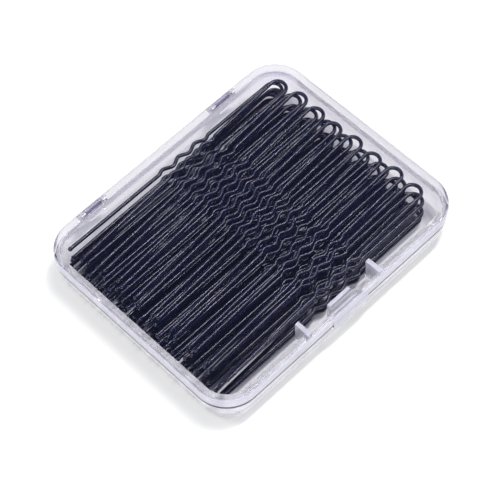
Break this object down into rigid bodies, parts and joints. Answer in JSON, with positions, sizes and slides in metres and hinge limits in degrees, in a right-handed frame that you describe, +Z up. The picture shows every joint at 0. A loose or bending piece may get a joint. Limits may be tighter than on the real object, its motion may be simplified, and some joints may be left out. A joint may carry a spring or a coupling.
{
  "type": "boxed set of u-shaped hair pins",
  "caption": "Clear hinged plastic box filled with layers of black U-shaped hair pins, each with waved legs and ball tips.",
  "frame": {"origin": "middle of the box's underside, on the surface that it rests on", "axes": "+X along the pins towards their bends, +Y towards the hinge, +Z up through the lid"},
  "size_m": [0.08, 0.0666, 0.0105],
  "materials": {
    "clear_plastic": "clear, slightly milky, moulded",
    "black_wire": "black enamel, satin"
  },
  "bodies": {
    "tray": {"tray_base": "clear_plastic", "hair_pin_01": "black_wire", "hair_pin_02": "black_wire", "hair_pin_03": "black_wire", "hair_pin_04": "black_wire", "hair_pin_05": "black_wire", "hair_pin_06": "black_wire", "hair_pin_07": "black_wire", "hair_pin_08": "black_wire", "hair_pin_09": "black_wire", "hair_pin_10": "black_wire", "hair_pin_11": "black_wire", "hair_pin_12": "black_wire", "hair_pin_13": "black_wire", "hair_pin_14": "black_wire", "hair_pin_15": "black_wire", "hair_pin_16": "black_wire", "hair_pin_17": "black_wire", "hair_pin_18": "black_wire", "hair_pin_19": "black_wire", "hair_pin_20": "black_wire", "hair_pin_21": "black_wire", "hair_pin_22": "black_wire", "hair_pin_23": "black_wire", "hair_pin_24": "black_wire", "hair_pin_25": "black_wire", "hair_pin_26": "black_wire", "hair_pin_27": "black_wire", "hair_pin_28": "black_wire", "hair_pin_29": "black_wire", "hair_pin_30": "black_wire", "hair_pin_31": "black_wire", "hair_pin_32": "black_wire", "hair_pin_33": "black_wire", "hair_pin_34": "black_wire", "hair_pin_35": "black_wire", "hair_pin_36": "black_wire", "hair_pin_37": "black_wire", "hair_pin_38": "black_wire", "hair_pin_39": "black_wire", "hair_pin_40": "black_wire", "hair_pin_41": "black_wire", "hair_pin_42": "black_wire", "hair_pin_43": "black_wire", "hair_pin_44": "black_wire", "hair_pin_45": "black_wire", "hair_pin_46": "black_wire", "hair_pin_47": "black_wire", "hair_pin_48": "black_wire", "hair_pin_49": "black_wire", "hair_pin_50": "black_wire", "hair_pin_51": "black_wire", "hair_pin_52": "black_wire", "hair_pin_53": "black_wire", "hair_pin_54": "black_wire", "hair_pin_55": "black_wire", "hair_pin_56": "black_wire", "hair_pin_57": "black_wire", "hair_pin_58": "black_wire"},
    "lid": {"lid_cover": "clear_plastic"}
  },
  "joints": [
    {"name": "lid_hinge", "type": "hinge", "parent": "tray", "child": "lid", "pos_m": [0, 0.0332, 0.0054], "axis": [-1, 0, 0], "range_deg": [0, 180]}
  ]
}
